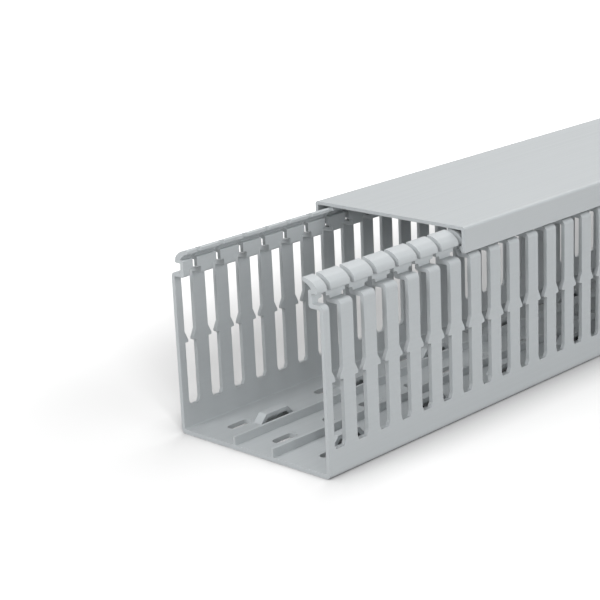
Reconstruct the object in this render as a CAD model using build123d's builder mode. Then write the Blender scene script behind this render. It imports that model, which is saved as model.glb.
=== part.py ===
"""Slotted wiring trunking: a one-piece channel with fingered walls, and its clip-on cover.

X runs along the trunking, Y across it and Z up. The origin is on the channel's
underside, halfway along it and midway between its walls. All sizes are millimetres.
"""
import os
from math import atan2, tan

from build123d import *

os.makedirs("parts", exist_ok=True)

# Channel: overall sizes and skin
length = 1000.0
width = 80.0
wall = 1.7
floor_thickness = 1.75
shoulder_height = 66.65
bottom_radius = 2.0
shoulder_radius = 2.1
inner_radius = 0.5

# Head of each wall: a groove for the cover's hook, under a lip that holds the wires in
groove_depth = 5.3
groove_height = 3.9
neck_thickness = 1.7
neck_radius = 1.2
lip_overhang = 2.8
lip_side = 1.9
lip_rise = 5.7
lip_reach = 2.7
lip_thickness = 1.5
lip_bulge = 1.0
lip_radius = 3.0
lip_edge_radius = 0.5

# Wire slots between the fingers, each narrowing to a slit between two heads
slot_pitch = 12.5
slot_width = 6.0
slot_bottom = 11.0
slot_foot_inset = 0.8
slot_foot_height = 2.0
barb_height = 37.0
barb_reach = 1.65
barb_edge = 1.0
barb_taper = 3.5
barb_radius = 0.45
slot_rise = 1.4
slot_top_radius = 0.8
slit_width = 2.2

# Two ribs along the floor
rib_spacing = 20.6
rib_thickness = 1.2
rib_height = 3.5

# Fixing holes in the floor, repeated along the channel
hole_pitch = 50.0
first_hole = 17.5
oblong_length = 12.0
oblong_width = 4.5
oblong_row_spacing = 50.0
round_hole_diameter = 5.0
round_hole_step = 25.0

# Raised bands for cable ties, pressed up from the floor between the holes
band_step = 13.5
band_length = 18.4
band_flat = 12.0
band_rise = 3.5
band_width = 4.2
band_row_spacing = 38.8

# Cover
cover_setback = 81.4
cover_inset = 0.6
cover_thickness = 1.4
cover_radius = 1.2
cover_clearance = 0.35
cover_foot_gap = 0.85
hook_clearance = 0.3
hook_gap = 1.5
hook_edge = 0.6

# Levels and half widths that follow from the sizes above
half_width = width / 2
inner_half_width = half_width - wall
shoulder_underside = shoulder_height - wall
neck_outside = half_width - groove_depth
neck_inside = neck_outside - neck_thickness
lip_bottom = shoulder_height + groove_height
lip_top = lip_bottom + lip_rise
lip_outside = neck_outside + lip_overhang
lip_tip = neck_inside - lip_reach
neck_top = lip_bottom + lip_side - neck_radius / 2
rib_top = floor_thickness + rib_height
rib_outside = rib_spacing / 2 + rib_thickness / 2
rib_inside = rib_spacing / 2 - rib_thickness / 2
cover_underside = lip_top + cover_clearance
cover_top = cover_underside + cover_thickness
cover_foot = shoulder_height + cover_foot_gap
cover_half_width = half_width - cover_inset
cover_inner_half = cover_half_width - cover_thickness
hook_top = lip_bottom - hook_clearance
hook_tip = neck_outside + hook_gap
through = width + wall

slot_count = int(length // slot_pitch)
hole_count = int((length - first_hole - round_hole_step) // hole_pitch) + 1
hole_row_middle = first_hole - length / 2 + (hole_count - 1) * hole_pitch / 2


def corner(sketch, across, up):
    """The corner of a cross-section that lies nearest to a point of it."""
    return sketch.vertices().sort_by_distance((across, up))[0]


def arc_over(start, end, bulge):
    """A point that lies off the middle of a chord, to its upper side."""
    chord = Vector(*end) - Vector(*start)
    sideways = Vector(-chord.Y, chord.X).normalized()
    if sideways.Y < 0:
        sideways = -sideways
    return (Vector(*start) + Vector(*end)) / 2 + sideways * bulge


def trapezoid(foot_level, top_level, half_foot, half_flat):
    """Side view of a raised band, or of the gap under it."""
    with BuildSketch() as outline:
        with BuildLine():
            Polyline(
                (-half_foot, foot_level),
                (half_foot, foot_level),
                (half_flat, top_level),
                (-half_flat, top_level),
                close=True,
            )
        make_face()
    return outline.sketch


# One wire slot seen from the side: foot, barbs, full width, then the slit between two heads
with BuildSketch() as slot_outline:
    half_slot = slot_width / 2
    half_slit = slit_width / 2
    half_neck = half_slot - barb_reach
    barb_shoulder = barb_height + barb_edge
    slot_top = shoulder_height + slot_rise
    with BuildLine():
        Polyline(
            (0, slot_bottom),
            (half_slot - slot_foot_inset, slot_bottom),
            (half_slot, slot_bottom + slot_foot_height),
            (half_slot, barb_height),
            (half_neck, barb_height),
            (half_neck, barb_shoulder),
            (half_slot, barb_shoulder + barb_taper),
            (half_slot, slot_top),
            (half_slit, slot_top),
            (half_slit, cover_top),
            (0, cover_top),
        )
        mirror(about=Plane.YZ)
    make_face()
    for side in (-1, 1):
        fillet(corner(slot_outline, side * half_slot, slot_top), slot_top_radius)
        fillet(corner(slot_outline, side * half_neck, barb_height), barb_radius)
        fillet(corner(slot_outline, side * half_neck, barb_shoulder), barb_radius)

# Channel with its two fingered walls
with BuildPart() as slotted_base:
    with BuildSketch(Plane.YZ) as section:
        lip_shoulder = (lip_outside, lip_bottom + lip_side)
        tip_top = (lip_tip, lip_top)
        tip_bottom = (lip_tip, lip_top - lip_thickness)
        neck_corner = (neck_outside, neck_top)
        with BuildLine():
            Polyline(
                (0, 0),
                (half_width, 0),
                (half_width, shoulder_height),
                (neck_outside, shoulder_height),
                (neck_outside, lip_bottom),
                (lip_outside, lip_bottom),
                lip_shoulder,
            )
            ThreePointArc(lip_shoulder, arc_over(lip_shoulder, tip_top, lip_bulge), tip_top)
            Line(tip_top, tip_bottom)
            ThreePointArc(
                tip_bottom, arc_over(tip_bottom, neck_corner, lip_bulge / 2), neck_corner
            )
            Polyline(
                neck_corner,
                (neck_inside, neck_top),
                (neck_inside, shoulder_underside),
                (inner_half_width, shoulder_underside),
                (inner_half_width, floor_thickness),
                (rib_outside, floor_thickness),
                (rib_outside, rib_top),
                (rib_inside, rib_top),
                (rib_inside, floor_thickness),
                (0, floor_thickness),
            )
            mirror(about=Plane.YZ)
        make_face()
        for side in (-1, 1):
            fillet(corner(section, side * half_width, 0), bottom_radius)
            fillet(corner(section, side * half_width, shoulder_height), shoulder_radius)
            fillet(corner(section, side * neck_inside, shoulder_underside), neck_radius)
            fillet(corner(section, side * inner_half_width, shoulder_underside), inner_radius)
            fillet(corner(section, side * inner_half_width, floor_thickness), inner_radius)
            fillet(corner(section, side * neck_inside, neck_top), inner_radius)
            fillet(corner(section, side * lip_outside, lip_bottom + lip_side), lip_radius)
            fillet(corner(section, side * lip_tip, lip_top), lip_edge_radius)
            fillet(corner(section, side * lip_outside, lip_bottom), lip_edge_radius)
    extrude(amount=length / 2, both=True)

    # The slots of both walls face each other, so one outline opens both
    with BuildSketch(Plane.XZ.offset(through / 2)) as slots:
        with GridLocations(slot_pitch, slot_pitch, slot_count, 1):
            add(slot_outline.sketch)
    extrude(amount=-through, clean=False, mode=Mode.SUBTRACT)

    # Fixing holes: two rows of oblong holes, and a middle row of oblong and round holes in turn
    with BuildSketch(Plane.XY.offset(floor_thickness)) as fixing_holes:
        with Locations((hole_row_middle, 0)):
            with GridLocations(hole_pitch, oblong_row_spacing / 2, hole_count, 3):
                SlotOverall(oblong_length, oblong_width)
        with Locations((hole_row_middle + round_hole_step, 0)):
            with GridLocations(hole_pitch, hole_pitch, hole_count, 1):
                Circle(round_hole_diameter / 2)
    extrude(amount=-floor_thickness, clean=False, mode=Mode.SUBTRACT)

    # Raised bands: the floor is slit along both sides of each band, which is pressed up
    band_top = floor_thickness + band_rise
    band_slope = atan2(band_rise, (band_length - band_flat) / 2)
    gap_top = band_top - floor_thickness
    gap_half_flat = band_flat / 2 - floor_thickness * tan(band_slope / 2)
    gap_half_foot = gap_half_flat + gap_top / tan(band_slope)
    band_outline = trapezoid(floor_thickness, band_top, band_length / 2, band_flat / 2)
    gap_outline = trapezoid(0, gap_top, gap_half_foot, gap_half_flat)
    band_rows = [
        Plane.XZ.offset(side * band_row_spacing / 2 - band_width / 2) for side in (-1, 1)
    ]
    for outline, mode in ((band_outline, Mode.ADD), (gap_outline, Mode.SUBTRACT)):
        with BuildSketch(*band_rows):
            with Locations((hole_row_middle + band_step, 0)):
                with GridLocations(hole_pitch, hole_pitch, hole_count, 1):
                    add(outline)
        extrude(amount=band_width, clean=False, mode=mode)
slotted_base.part.label = "slotted_base"
export_step(slotted_base.part, "parts/slotted_base.step")

# Cover, slid back along the channel: a flat top, two straight sides and a hook along each foot
with BuildPart() as cover:
    with BuildSketch(Plane.YZ.offset(cover_setback)) as cover_section:
        with BuildLine():
            Polyline(
                (0, cover_top),
                (cover_half_width, cover_top),
                (cover_half_width, cover_foot),
                (cover_inner_half, cover_foot),
                (hook_tip, hook_top - hook_edge),
                (hook_tip, hook_top),
                (cover_inner_half, hook_top),
                (cover_inner_half, cover_underside),
                (0, cover_underside),
            )
            mirror(about=Plane.YZ)
        make_face()
        for side in (-1, 1):
            fillet(corner(cover_section, side * cover_half_width, cover_top), cover_radius)
            fillet(corner(cover_section, side * cover_inner_half, cover_underside), inner_radius)
    extrude(amount=length / 2, both=True)
cover.part.label = "cover"
export_step(cover.part, "parts/cover.step")
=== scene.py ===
# %% [markdown]
# # Slotted wiring trunking
# This notebook dresses a length of slotted trunking: a grey plastic channel with fingered
# walls, and its cover slid back to show the inside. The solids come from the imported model
# at their real size, so this file only gives them their plastic, sets them on a studio
# floor, lights them and places the camera.

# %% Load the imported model
import bpy
from math import cos, radians, sin
from mathutils import Matrix, Vector


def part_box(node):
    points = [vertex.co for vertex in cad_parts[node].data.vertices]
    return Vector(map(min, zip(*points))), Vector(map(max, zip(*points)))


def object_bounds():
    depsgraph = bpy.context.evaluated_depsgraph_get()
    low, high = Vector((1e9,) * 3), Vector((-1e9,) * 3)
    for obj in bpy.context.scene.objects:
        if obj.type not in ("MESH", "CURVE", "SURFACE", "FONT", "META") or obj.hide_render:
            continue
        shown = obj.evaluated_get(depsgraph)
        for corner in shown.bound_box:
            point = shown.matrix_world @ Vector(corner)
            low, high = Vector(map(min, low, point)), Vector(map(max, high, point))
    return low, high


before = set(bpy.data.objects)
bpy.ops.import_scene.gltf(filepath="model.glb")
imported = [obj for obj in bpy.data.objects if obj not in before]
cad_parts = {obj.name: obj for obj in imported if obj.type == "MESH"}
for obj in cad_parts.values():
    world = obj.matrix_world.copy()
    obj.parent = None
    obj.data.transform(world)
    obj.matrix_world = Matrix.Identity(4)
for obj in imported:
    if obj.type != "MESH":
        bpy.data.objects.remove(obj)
cad_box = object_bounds()
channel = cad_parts["slotted_base"]
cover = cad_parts["cover"]
millimetre = 0.001
print("packed box", cad_box)

# %% [markdown]
# ## What the photograph says about its camera
# A photograph fixes seven things about its camera: which way it looks (three angles), where
# it stands (three numbers) and how narrow its view is. They could be found by trial, but the
# trunking is a good ruler: its slots repeat every 12.5 mm, so the values below come from
# fitting those slots, the floor line and the cover's edges.

# %% Fitted camera values
image_width = 600
focal_pixels = 1735.7
sensor_width = 36.0
view_azimuth = radians(-45.57)
view_elevation = radians(16.82)
view_roll = radians(-2.69)
view_distance = 662.9 * millimetre
end_left_of_axis = 17.8 * millimetre
end_below_axis = 59.4 * millimetre
print("the camera stands", round(view_distance, 3), "m from the open end, along its view")

# %% [markdown]
# ## Camera
# The camera stands off the corner of the trunking, a little above it. Its place could be
# typed in as three numbers, but they would say nothing about the picture. So the picture's
# own right and up and the way back to the camera are worked out first, and the camera is
# set off along them from the foot of the open front end, which the picture is about.

# %% Directions of the picture
channel_low, channel_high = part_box("slotted_base")
front_end = Vector((channel_low[0], 0, channel_low[2]))
toward_camera = Vector((
    sin(view_azimuth) * cos(view_elevation),
    -cos(view_azimuth) * cos(view_elevation),
    sin(view_elevation),
))
level_right = Vector((0, 0, 1)).cross(toward_camera).normalized()
level_up = toward_camera.cross(level_right)
picture_right = cos(view_roll) * level_right + sin(view_roll) * level_up
picture_up = cos(view_roll) * level_up - sin(view_roll) * level_right
print("channel from", channel_low, "to", channel_high)

# %% Place the camera
nearest_seen = 10 * millimetre
camera_place = (
    front_end
    + end_left_of_axis * picture_right
    + end_below_axis * picture_up
    + view_distance * toward_camera
)
camera_data = bpy.data.cameras.new("photo_camera")
camera_data.sensor_width = sensor_width
camera_data.lens = focal_pixels / image_width * sensor_width
camera_data.clip_start = nearest_seen
camera = bpy.data.objects.new("photo_camera", camera_data)
bpy.context.collection.objects.link(camera)
turn = Matrix((picture_right, picture_up, toward_camera)).transposed().to_4x4()
camera.matrix_world = Matrix.Translation(camera_place) @ turn
bpy.context.scene.camera = camera
print("lens", round(camera_data.lens, 1), "mm, camera at", [round(v, 3) for v in camera_place])

# %% [markdown]
# ## Small helpers for node trees
# Every finish below is a node tree. Typing each node and link in full would bury the idea
# under brackets, so four short helpers do it: one adds a node with its settings, one opens a
# node group with named sockets, one places such a group in a material, and one works out a
# sum or a product. Nothing else is hidden in them.

# %% Node helper
def add_node(tree, kind, **settings):
    """Add one node to a tree and set its properties."""
    node = tree.nodes.new(kind)
    for name, value in settings.items():
        setattr(node, name, value)
    return node


# %% Node group helpers
def open_group(name, inputs, outputs):
    """Start a shader node group: inputs are (name, kind, default), outputs (name, kind)."""
    group = bpy.data.node_groups.new(name, "ShaderNodeTree")
    for label, kind, default in inputs:
        socket = group.interface.new_socket(name=label, in_out="INPUT", socket_type=kind)
        socket.default_value = default
    for label, kind in outputs:
        group.interface.new_socket(name=label, in_out="OUTPUT", socket_type=kind)
    return group, add_node(group, "NodeGroupInput"), add_node(group, "NodeGroupOutput")


def place_group(tree, group, **values):
    """Put a node group into a material and set its inputs by name."""
    node = add_node(tree, "ShaderNodeGroup", node_tree=group)
    for name, value in values.items():
        node.inputs[name.replace("_", " ")].default_value = value
    return node


# %% Maths helper
def maths(tree, operation, first, second, clamp=False):
    """A Math node: each operand is a socket to link or a plain number."""
    node = add_node(tree, "ShaderNodeMath", operation=operation, use_clamp=clamp)
    for socket, value in zip(node.inputs, (first, second)):
        if isinstance(value, (int, float)):
            socket.default_value = value
        else:
            tree.links.new(value, socket)
    return node.outputs[0]


# %% [markdown]
# ## Extrusion lines
# Trunking is extruded: soft plastic is pushed through a steel die, and every scratch in the
# die draws a faint line along the whole length. The lines could be modelled, but they are a
# few hundredths of a millimetre deep. So a noise texture is stretched along X until its
# grains become lines, and its value goes to the bump, the gloss and the tone. A second, fine
# noise gives the dull skin between the lines.

# %% Group: extrusion lines
grain_stretch = 250.0
line_detail = 3.0
skin_detail = 2.0
lines_group, lines_in, lines_out = open_group(
    "extrusion lines",
    inputs=[
        ("Lines per metre", "NodeSocketFloat", 900.0),
        ("Skin grains per metre", "NodeSocketFloat", 2500.0),
        ("Skin share", "NodeSocketFloat", 0.35),
    ],
    outputs=[("Height", "NodeSocketFloat"), ("Streak", "NodeSocketFloat")],
)
lines_place = add_node(lines_group, "ShaderNodeTexCoord")
line_stretch = add_node(lines_group, "ShaderNodeVectorMath", operation="MULTIPLY")
line_stretch.inputs[1].default_value = (1.0 / grain_stretch, 1.0, 1.0)
lines_group.links.new(lines_place.outputs["Object"], line_stretch.inputs[0])
line_noise = add_node(lines_group, "ShaderNodeTexNoise")
line_noise.inputs["Detail"].default_value = line_detail
lines_group.links.new(line_stretch.outputs[0], line_noise.inputs["Vector"])
lines_group.links.new(lines_in.outputs["Lines per metre"], line_noise.inputs["Scale"])
skin_noise = add_node(lines_group, "ShaderNodeTexNoise")
skin_noise.inputs["Detail"].default_value = skin_detail
lines_group.links.new(lines_place.outputs["Object"], skin_noise.inputs["Vector"])
lines_group.links.new(lines_in.outputs["Skin grains per metre"], skin_noise.inputs["Scale"])
skin_part = maths(
    lines_group, "MULTIPLY", skin_noise.outputs["Fac"], lines_in.outputs["Skin share"]
)
line_height = maths(lines_group, "ADD", line_noise.outputs["Fac"], skin_part)
lines_group.links.new(line_height, lines_out.inputs["Height"])
lines_group.links.new(line_noise.outputs["Fac"], lines_out.inputs["Streak"])
print("group", lines_group.name, "with", len(lines_group.nodes), "nodes")

# %% [markdown]
# ## Cut and punched edges
# The slots are punched and the ends sawn, and a fresh cut in this plastic is a touch paler
# than the skin and never perfectly sharp. A bevel on a thousand edges would be a heavy mesh
# for a curve a fifth of a millimetre wide. The Bevel node rounds the normal near an edge
# instead, and how far that normal leans from the true one tells where the edge is. The paler
# tone laid along that mask is partly the cut's own and partly a painted edge highlight.

# %% Group: cut edges
bevel_samples = 6
edges_group, edges_in, edges_out = open_group(
    "cut edges",
    inputs=[
        ("Radius", "NodeSocketFloat", 0.2 * millimetre),
        ("Reach", "NodeSocketFloat", 3.0),
    ],
    outputs=[("Edge", "NodeSocketFloat"), ("Normal", "NodeSocketVector")],
)
edge_round = add_node(edges_group, "ShaderNodeBevel", samples=bevel_samples)
edges_group.links.new(edges_in.outputs["Radius"], edge_round.inputs["Radius"])
edge_true = add_node(edges_group, "ShaderNodeNewGeometry")
edge_lean = add_node(edges_group, "ShaderNodeVectorMath", operation="DOT_PRODUCT")
edges_group.links.new(edge_round.outputs["Normal"], edge_lean.inputs[0])
edges_group.links.new(edge_true.outputs["Normal"], edge_lean.inputs[1])
edge_share = maths(edges_group, "SUBTRACT", 1.0, edge_lean.outputs["Value"])
edge_mask = maths(
    edges_group, "MULTIPLY", edge_share, edges_in.outputs["Reach"], clamp=True
)
edges_group.links.new(edge_mask, edges_out.inputs["Edge"])
edges_group.links.new(edge_round.outputs["Normal"], edges_out.inputs["Normal"])
print("group", edges_group.name, "with", len(edges_group.nodes), "nodes")

# %% [markdown]
# ## Plastic tone
# Grey plastic looks flat until it varies a little: pigment drifts over a few centimetres,
# and the die lines take the light differently. The tone could be painted, but then it would
# need an image. A mix of two close greys, driven by a broad noise and by the streaks, does
# the same and holds at any distance. A third grey, a paler one, lies over the cut edges: it
# is partly the cut's own tone and partly a painted highlight along every edge.

# %% Group: plastic tone
drifts_per_metre = 22.0
drift_detail = 4.0
drift_gain = 2.0
tone_group, tone_in, tone_out = open_group(
    "plastic tone",
    inputs=[
        ("Skin", "NodeSocketColor", (0.5, 0.5, 0.5, 1.0)),
        ("Drift colour", "NodeSocketColor", (0.5, 0.5, 0.5, 1.0)),
        ("Cut colour", "NodeSocketColor", (0.6, 0.6, 0.6, 1.0)),
        ("Streak", "NodeSocketFloat", 0.5),
        ("Edge", "NodeSocketFloat", 0.0),
        ("Edge strength", "NodeSocketFloat", 0.5),
    ],
    outputs=[("Colour", "NodeSocketColor")],
)
tone_place = add_node(tone_group, "ShaderNodeTexCoord")
tone_noise = add_node(tone_group, "ShaderNodeTexNoise")
tone_noise.inputs["Scale"].default_value = drifts_per_metre
tone_noise.inputs["Detail"].default_value = drift_detail
tone_group.links.new(tone_place.outputs["Object"], tone_noise.inputs["Vector"])
tone_both = maths(tone_group, "MULTIPLY", tone_noise.outputs["Fac"], tone_in.outputs["Streak"])
tone_drift = maths(tone_group, "MULTIPLY", tone_both, drift_gain, clamp=True)
drift_mix = add_node(tone_group, "ShaderNodeMix", data_type="RGBA")
tone_group.links.new(tone_drift, drift_mix.inputs["Factor"])
tone_group.links.new(tone_in.outputs["Skin"], drift_mix.inputs["A"])
tone_group.links.new(tone_in.outputs["Drift colour"], drift_mix.inputs["B"])
# paler tone along every edge: the cut's own tone and a painted edge highlight
cut_and_highlight_share = maths(
    tone_group, "MULTIPLY", tone_in.outputs["Edge"], tone_in.outputs["Edge strength"]
)
cut_and_highlight_mix = add_node(tone_group, "ShaderNodeMix", data_type="RGBA")
tone_group.links.new(cut_and_highlight_share, cut_and_highlight_mix.inputs["Factor"])
tone_group.links.new(drift_mix.outputs["Result"], cut_and_highlight_mix.inputs["A"])
tone_group.links.new(tone_in.outputs["Cut colour"], cut_and_highlight_mix.inputs["B"])
tone_group.links.new(cut_and_highlight_mix.outputs["Result"], tone_out.inputs["Colour"])
print("group", tone_group.name, "with", len(tone_group.nodes), "nodes")

# %% [markdown]
# ## Trunking plastic
# Channel and cover are made of the same light grey rigid plastic, semi-matt from the die.
# One plain Principled shader would do from afar, but close up it looks like grey card. Here
# it stays in the material, with its constants on its own sockets, and the three groups feed
# only what varies: colour, roughness and the normal.

# %% Material: trunking plastic
plastic_ior = 1.53
plastic_specular = 0.4
streak_low = 0.3
streak_high = 0.7
bump_strength = 0.5


def trunking_plastic(
    name, skin, drift, cut_and_highlight, lines_per_metre, line_depth, roughness_low, roughness_high
):
    """Rigid grey plastic with extrusion lines and paler cut edges, partly a painted edge
    highlight.
    """
    material = bpy.data.materials.new(name)
    material.use_nodes = True
    tree = material.node_tree
    shader = tree.nodes["Principled BSDF"]
    shader.inputs["IOR"].default_value = plastic_ior
    shader.inputs["Specular IOR Level"].default_value = plastic_specular
    lines = place_group(tree, lines_group, Lines_per_metre=lines_per_metre)
    edges = place_group(tree, edges_group)
    tone = place_group(tree, tone_group, Skin=skin, Drift_colour=drift, Cut_colour=cut_and_highlight)
    tree.links.new(lines.outputs["Streak"], tone.inputs["Streak"])
    tree.links.new(edges.outputs["Edge"], tone.inputs["Edge"])
    tree.links.new(tone.outputs["Colour"], shader.inputs["Base Color"])
    roughness = add_node(tree, "ShaderNodeMapRange")
    roughness.inputs["From Min"].default_value = streak_low
    roughness.inputs["From Max"].default_value = streak_high
    roughness.inputs["To Min"].default_value = roughness_low
    roughness.inputs["To Max"].default_value = roughness_high
    tree.links.new(lines.outputs["Streak"], roughness.inputs["Value"])
    tree.links.new(roughness.outputs["Result"], shader.inputs["Roughness"])
    bump = add_node(tree, "ShaderNodeBump")
    bump.inputs["Strength"].default_value = bump_strength
    bump.inputs["Distance"].default_value = line_depth
    tree.links.new(lines.outputs["Height"], bump.inputs["Height"])
    tree.links.new(edges.outputs["Normal"], bump.inputs["Normal"])
    tree.links.new(bump.outputs["Normal"], shader.inputs["Normal"])
    return material


# %% [markdown]
# ## Channel and cover
# The two pieces come from two dies. They could share one material, but the cover is made
# through a smoother die: its lines are finer and shallower, its surface is less rough and
# its grey a trace paler. So the same recipe is used twice, with each piece's own values.

# %% Channel plastic
channel_plastic = trunking_plastic(
    "channel_plastic",
    skin=(0.420, 0.444, 0.456, 1.0),
    drift=(0.405, 0.429, 0.441, 1.0),
    # paler edge tone: the cut's own tone and a painted edge highlight
    cut_and_highlight=(0.480, 0.504, 0.516, 1.0),
    lines_per_metre=900.0,
    line_depth=0.05 * millimetre,
    roughness_low=0.48,
    roughness_high=0.60,
)
print("made", channel_plastic.name)

# %% Cover plastic
cover_plastic = trunking_plastic(
    "cover_plastic",
    skin=(0.425, 0.448, 0.459, 1.0),
    drift=(0.412, 0.435, 0.446, 1.0),
    # paler edge tone: the cut's own tone and a painted edge highlight
    cut_and_highlight=(0.485, 0.508, 0.519, 1.0),
    lines_per_metre=1400.0,
    line_depth=0.02 * millimetre,
    roughness_low=0.42,
    roughness_high=0.52,
)
print("made", cover_plastic.name)


# %% Dress the two pieces
def dress(piece, material):
    """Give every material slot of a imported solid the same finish."""
    for slot in piece.material_slots:
        slot.material = material
    print(piece.name, "wears", material.name)


dress(channel, channel_plastic)
dress(cover, cover_plastic)

# %% [markdown]
# ## Studio floor
# The photograph stands on white paper that the eye reads as empty. The paper could be a
# curved sweep, but a flat sheet that runs far past the picture looks the same from every
# side, so one square face does. It lies a hair below the trunking, so that the sheet and
# the trunking's underside never fight for the same pixels.

# %% Floor sheet
floor_half = 6.0
floor_gap = 0.05 * millimetre
floor_level = channel_low[2] - floor_gap
floor_mesh = bpy.data.meshes.new("studio_floor")
floor_mesh.from_pydata(
    [
        (-floor_half, -floor_half, floor_level),
        (floor_half, -floor_half, floor_level),
        (floor_half, floor_half, floor_level),
        (-floor_half, floor_half, floor_level),
    ],
    [],
    [(0, 1, 2, 3)],
)
floor = bpy.data.objects.new("studio_floor", floor_mesh)
bpy.context.collection.objects.link(floor)
print("floor", 2 * floor_half, "m across")

# %% [markdown]
# ## Floor paint
# A soft grey shadow along the trunking ties it to the ground. A white floor lit until it
# clips would keep no shadow, and it would send its light up through every slot and wash out
# the inside. So the floor has two colours: a dull one for light that bounces on to the
# trunking, and a pale one for the rays that the viewer sees. The Light Path node tells the
# two kinds of ray apart. The pale colour darkens into a painted contact shadow where the
# trunking stands close over the paper, and the Ambient Occlusion node measures how close.

# %% Plain paint
paper_roughness = 0.9
floor_paint = bpy.data.materials.new("studio_floor_paint")
floor_paint.use_nodes = True
paint_tree = floor_paint.node_tree
paint = paint_tree.nodes["Principled BSDF"]
paint.inputs["Roughness"].default_value = paper_roughness
paint.inputs["Specular IOR Level"].default_value = 0.0
paint.inputs["Emission Color"].default_value = (1.0, 1.0, 1.0, 1.0)
floor_mesh.materials.append(floor_paint)
print("paint", floor_paint.name, "on", floor.name)


# %% Rays that show a surface
def rays_that_show_it(tree):
    """One for rays that show a surface to the viewer, also by reflection or through glass."""
    rays = add_node(tree, "ShaderNodeLightPath")
    straight_or_mirrored = maths(
        tree, "MAXIMUM", rays.outputs["Is Camera Ray"], rays.outputs["Is Glossy Ray"]
    )
    return maths(tree, "MAXIMUM", straight_or_mirrored, rays.outputs["Is Transmission Ray"])


seen = rays_that_show_it(paint_tree)
print("paint with", len(paint_tree.nodes), "nodes so far")

# %% Two floor colours
shadow_reach = 20 * millimetre
shadow_samples = 12
shadow_grey = (0.10, 0.10, 0.105, 1.0)
paper_grey = (0.50, 0.50, 0.50, 1.0)
bounce_grey = (0.25, 0.25, 0.25, 1.0)
# painted contact shadow: the paper colour that the viewer sees darkens near the trunking
painted_shadow_closeness = add_node(paint_tree, "ShaderNodeAmbientOcclusion", samples=shadow_samples)
painted_shadow_closeness.inputs["Distance"].default_value = shadow_reach
seen_paper_with_painted_shadow = add_node(paint_tree, "ShaderNodeMix", data_type="RGBA")
seen_paper_with_painted_shadow.inputs["A"].default_value = shadow_grey
seen_paper_with_painted_shadow.inputs["B"].default_value = paper_grey
paint_tree.links.new(painted_shadow_closeness.outputs["AO"], seen_paper_with_painted_shadow.inputs["Factor"])
floor_colour = add_node(paint_tree, "ShaderNodeMix", data_type="RGBA")
floor_colour.inputs["A"].default_value = bounce_grey
paint_tree.links.new(seen, floor_colour.inputs["Factor"])
paint_tree.links.new(seen_paper_with_painted_shadow.outputs["Result"], floor_colour.inputs["B"])
paint_tree.links.new(floor_colour.outputs["Result"], paint.inputs["Base Color"])
print("contact shadow within", shadow_reach, "m of the trunking")

# %% [markdown]
# ## Paper that runs out into white
# The paper is painted plain white a little way from the object. Stronger lamps would do
# that too, but they would wash out the trunking. So the paper glows a painted white of its
# own, only to the rays that the viewer sees, and more of it the farther a point lies from the
# trunking, so that near it the paper stays darker. That distance comes from the imported
# model's box: a point is measured from the middle of the box, half the box's size is taken
# off, and what is left over is how far outside it lies.

# %% White by distance from the trunking
white_begins = 40 * millimetre
white_is_full = 300 * millimetre
model_low, model_high = Vector(cad_box[0]), Vector(cad_box[1])
floor_place = add_node(paint_tree, "ShaderNodeTexCoord")
from_middle = add_node(paint_tree, "ShaderNodeVectorMath", operation="SUBTRACT")
from_middle.inputs[1].default_value = (model_low + model_high) / 2
paint_tree.links.new(floor_place.outputs["Object"], from_middle.inputs[0])
either_side = add_node(paint_tree, "ShaderNodeVectorMath", operation="ABSOLUTE")
paint_tree.links.new(from_middle.outputs[0], either_side.inputs[0])
past_edges = add_node(paint_tree, "ShaderNodeVectorMath", operation="SUBTRACT")
past_edges.inputs[1].default_value = (model_high - model_low) / 2
paint_tree.links.new(either_side.outputs[0], past_edges.inputs[0])
outside = add_node(paint_tree, "ShaderNodeVectorMath", operation="MAXIMUM")
outside.inputs[1].default_value = (0.0, 0.0, 0.0)
paint_tree.links.new(past_edges.outputs[0], outside.inputs[0])
away = add_node(paint_tree, "ShaderNodeVectorMath", operation="LENGTH")
paint_tree.links.new(outside.outputs[0], away.inputs[0])
# painted white glow on the paper, fading out near the trunking so the paper there stays darker
painted_white_share = add_node(paint_tree, "ShaderNodeMapRange", interpolation_type="SMOOTHSTEP")
painted_white_share.inputs["From Min"].default_value = white_begins
painted_white_share.inputs["From Max"].default_value = white_is_full
paint_tree.links.new(away.outputs["Value"], painted_white_share.inputs["Value"])
painted_floor_white = maths(paint_tree, "MULTIPLY", seen, painted_white_share.outputs["Result"])
paint_tree.links.new(painted_floor_white, paint.inputs["Emission Strength"])
print("floor paint with", len(paint_tree.nodes), "nodes")

# %% [markdown]
# ## Room
# Trunking is all slots, and a bare white sky would light it through every one of them until
# its inside were as bright as its outside. So the room's own light is kept dim, and only the
# rays that the viewer sees find it plain white.

# %% World
room_strength = 0.05
white_strength = 1.0
world = bpy.data.worlds.new("studio_room")
bpy.context.scene.world = world
world.use_nodes = True
world_tree = world.node_tree
room = world_tree.nodes["Background"]
room.inputs["Color"].default_value = (1.0, 1.0, 1.0, 1.0)
room_rest = maths(
    world_tree, "MULTIPLY", rays_that_show_it(world_tree), white_strength - room_strength
)
room_total = maths(world_tree, "ADD", room_rest, room_strength)
world_tree.links.new(room_total, room.inputs["Strength"])
print("room at", room_strength)

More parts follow.
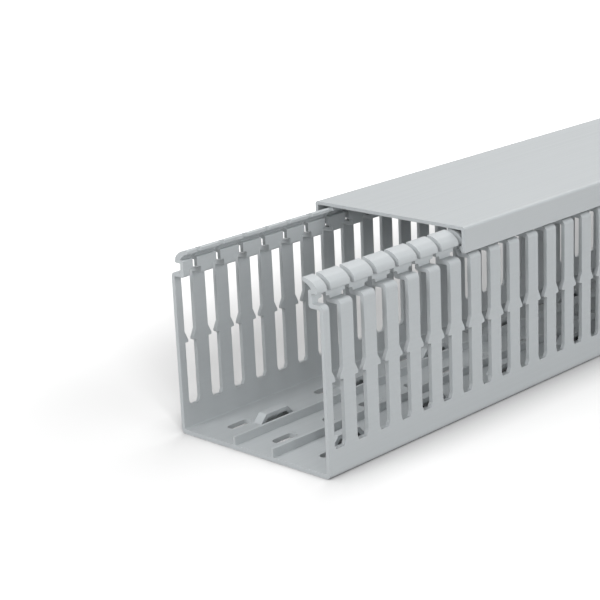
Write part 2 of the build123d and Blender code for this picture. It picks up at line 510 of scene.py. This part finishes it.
# %% [markdown]
# ## Lamps
# Small lamps would throw a hard comb of shadows through the fingers, so four large soft ones
# do the work, each placed by the way it lies from the open end. One stands before the end
# and above it, for the cut faces and the floor of the channel. Two stand low on the camera's
# side: they reach the near wall but not far down into the channel. The fourth hangs high
# behind, lights the cover's top and pulls the soft shadow forward along the near edge.

# %% Lamp helper
lit_behind_end = 150 * millimetre
lit_height = 50 * millimetre
lamp_distance = 2.0
lit_point = front_end + Vector((lit_behind_end, 0, lit_height))
print("the lamps face", [round(v, 3) for v in lit_point])


def softbox(name, azimuth, elevation, side, watts):
    """A square area lamp that faces the open end; azimuth 0 is the near side, -90 the front."""
    lamp_data = bpy.data.lights.new(name, "AREA")
    lamp_data.size = side
    lamp_data.energy = watts
    lamp = bpy.data.objects.new(name, lamp_data)
    bpy.context.collection.objects.link(lamp)
    turned, raised = radians(azimuth), radians(elevation)
    outward = Vector((sin(turned) * cos(raised), -cos(turned) * cos(raised), sin(raised)))
    lamp.location = lit_point + lamp_distance * outward
    lamp.rotation_euler = outward.to_track_quat("Z", "Y").to_euler()
    print(name, watts, "W at", [round(v, 2) for v in lamp.location])
    return lamp


# %% Four soft lamps
softbox("front_softbox", azimuth=-90, elevation=38, side=1.1, watts=33.0)
softbox("corner_softbox", azimuth=-35, elevation=12, side=0.8, watts=11.0)
softbox("near_softbox", azimuth=5, elevation=20, side=1.0, watts=19.5)
softbox("high_back_softbox", azimuth=110, elevation=52, side=1.2, watts=21.0)

# %% [markdown]
# ## Paper lamp
# The paper is whiter before the trunking than behind it, where a grey shadow shows through
# the far wall's slots. Turning the other lamps up would whiten the paper too, but the
# plastic would lose its grey. So a fifth lamp is linked to the paper alone: the trunking
# casts its shadow on the sheet, but takes no light from it.

# %% Paper lamp
paper_lamp = softbox("paper_softbox", azimuth=-45, elevation=25, side=1.0, watts=78.0)
paper_only = bpy.data.collections.new("paper_only")
paper_only.objects.link(floor)
paper_lamp.light_linking.receiver_collection = paper_only

# %% [markdown]
# ## View settings
# Blender's usual view softens bright tones, which suits sunlit scenes. The plain greys here
# have to come out as they are mixed, so the Standard view is set instead.

# %% View settings
bpy.context.scene.view_settings.view_transform = "Standard"
print("view", bpy.context.scene.view_settings.view_transform)
